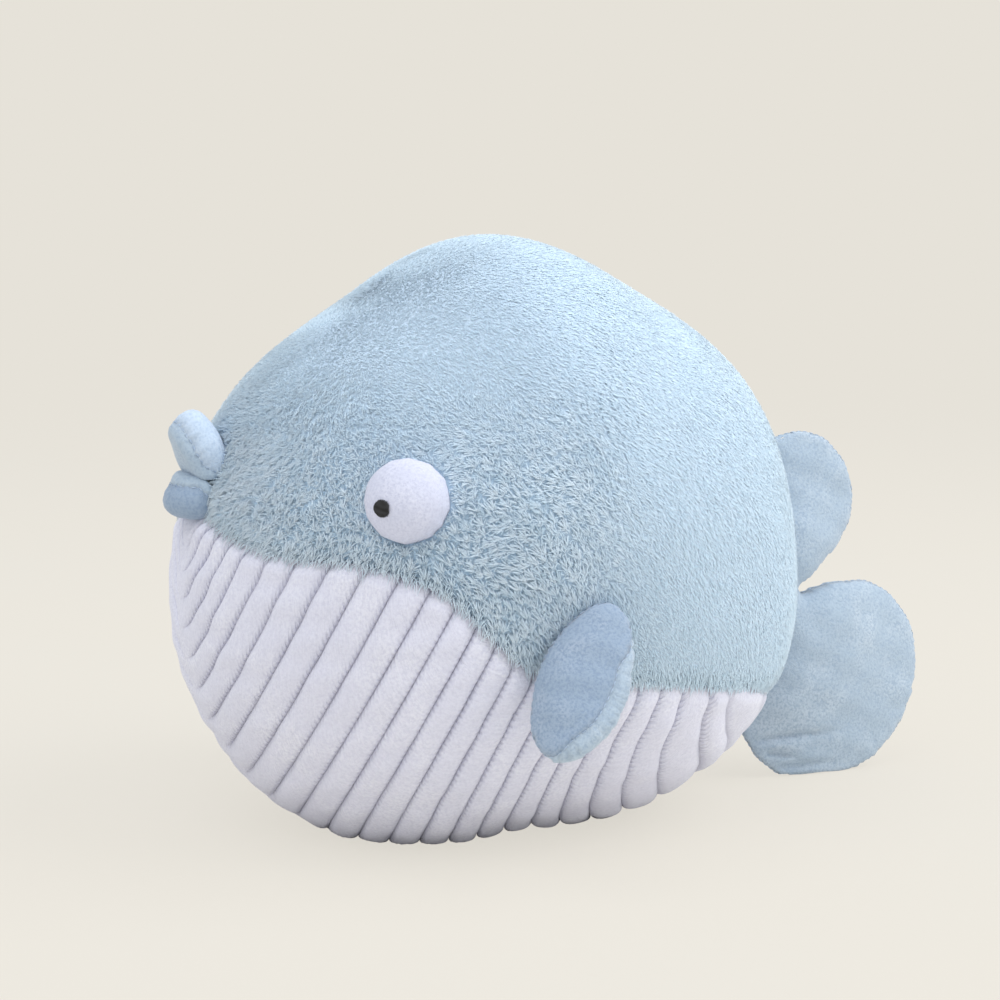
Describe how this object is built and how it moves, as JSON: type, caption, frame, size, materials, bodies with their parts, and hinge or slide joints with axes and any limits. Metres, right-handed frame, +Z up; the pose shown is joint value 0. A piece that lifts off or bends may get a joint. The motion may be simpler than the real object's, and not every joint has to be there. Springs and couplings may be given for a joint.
{
  "type": "stuffed toy fish",
  "caption": "Round plush fish with a furry blue upper body, ribbed white belly, padded lips, ball eyes, flapping side fins and a swaying forked tail; it sits on its belly.",
  "frame": {"origin": "middle of the flat patch under the belly, on the floor, in the fish's middle plane", "axes": "+X forward through the mouth, +Y to the fish's left, +Z up"},
  "size_m": [0.3457, 0.292, 0.237],
  "materials": {
    "long_pile_fur": "long soft pile",
    "ribbed_plush": "quilted channel plush",
    "blue_plush": "short pile plush",
    "white_plush": "short pile plush",
    "black_thread": "satin stitch",
    "fibre_filling": "loose fibre"
  },
  "bodies": {
    "body": {"left_upper_cover": "long_pile_fur", "right_upper_cover": "long_pile_fur", "belly_cover": "ribbed_plush", "body_stuffing": "fibre_filling", "upper_lip_back_panel": "blue_plush", "upper_lip_front_panel": "blue_plush", "upper_lip_stuffing": "fibre_filling", "lower_lip_top_panel": "blue_plush", "lower_lip_bottom_panel": "blue_plush", "lower_lip_stuffing": "fibre_filling", "left_eye_cover": "white_plush", "left_eye_stuffing": "fibre_filling", "left_pupil": "black_thread", "right_eye_cover": "white_plush", "right_eye_stuffing": "fibre_filling", "right_pupil": "black_thread"},
    "left_fin": {"left_fin_front_panel": "blue_plush", "left_fin_back_panel": "blue_plush", "left_fin_stuffing": "fibre_filling"},
    "right_fin": {"right_fin_front_panel": "blue_plush", "right_fin_back_panel": "blue_plush", "right_fin_stuffing": "fibre_filling"},
    "tail": {"tail_left_panel": "blue_plush", "tail_right_panel": "blue_plush", "tail_stuffing": "fibre_filling"}
  },
  "joints": [
    {"name": "left_fin_flap", "type": "hinge", "parent": "body", "child": "left_fin", "pos_m": [0, 0.12346, 0.1077], "axis": [0.8567, -0.3449, 0.3835], "range_deg": [0, 80], "stiffness_Nm_per_rad": 0.004},
    {"name": "right_fin_flap", "type": "hinge", "parent": "body", "child": "right_fin", "pos_m": [0, -0.12346, 0.1077], "axis": [-0.8567, -0.3449, -0.3835], "range_deg": [0, 80], "stiffness_Nm_per_rad": 0.004},
    {"name": "tail_sway", "type": "hinge", "parent": "body", "child": "tail", "pos_m": [-0.13387, 0, 0.07669], "axis": [0, 0, 1], "range_deg": [-30, 30], "stiffness_Nm_per_rad": 0.02}
  ]
}
